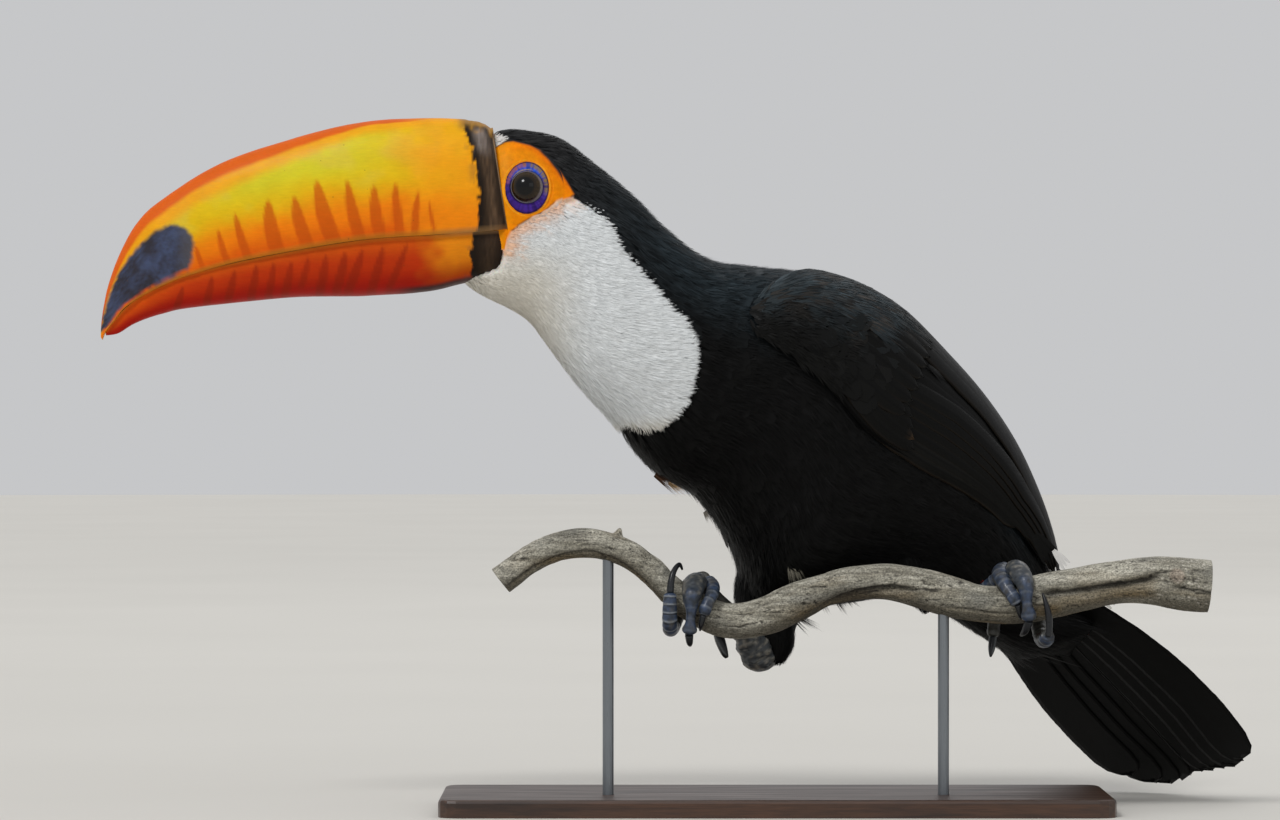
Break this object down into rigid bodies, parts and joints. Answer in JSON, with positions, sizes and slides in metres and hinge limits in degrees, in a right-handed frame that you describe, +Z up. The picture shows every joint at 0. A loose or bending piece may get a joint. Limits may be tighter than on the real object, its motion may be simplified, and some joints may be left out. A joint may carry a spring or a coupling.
{
  "type": "toucan display model",
  "caption": "Still, life-size toco toucan crouched along a cut length of branch, held over a flat display base by two rods.",
  "frame": {"origin": "centre of the display base's underside", "axes": "+Z up; -X the way the bill points; the bird's left side faces -Y"},
  "size_m": [0.521, 0.1676, 0.3106],
  "materials": {
    "plumage_black": "matt black feathers with a faint sheen",
    "plumage_face": "soft white throat feathers under a black crown",
    "bill_keratin": "satin horn, orange and yellow",
    "eye": "wet, dark brown",
    "foot_skin": "scaled blue-grey skin",
    "claw": "satin black horn",
    "bark": "dry weathered bark",
    "base_wood": "dark satin varnish",
    "rod_metal": "satin"
  },
  "bodies": {
    "root": {"bill_upper": "bill_keratin", "bill_lower": "bill_keratin", "head": "plumage_face", "neck": "plumage_black", "trunk": "plumage_black", "tail": "plumage_black", "wing_left": "plumage_black", "wing_right": "plumage_black", "eye_left": "eye", "eye_right": "eye", "thigh_left": "plumage_black", "thigh_right": "plumage_black", "tarsus_left": "foot_skin", "tarsus_right": "foot_skin", "toe_left_1": "foot_skin", "toe_left_2": "foot_skin", "toe_left_3": "foot_skin", "toe_left_4": "foot_skin", "toe_right_1": "foot_skin", "toe_right_2": "foot_skin", "toe_right_3": "foot_skin", "toe_right_4": "foot_skin", "claw_left_1": "claw", "claw_left_2": "claw", "claw_left_3": "claw", "claw_left_4": "claw", "claw_right_1": "claw", "claw_right_2": "claw", "claw_right_3": "claw", "claw_right_4": "claw", "perch": "bark", "stand_base": "base_wood", "stand_rod_1": "rod_metal", "stand_rod_2": "rod_metal"}
  },
  "joints": []
}
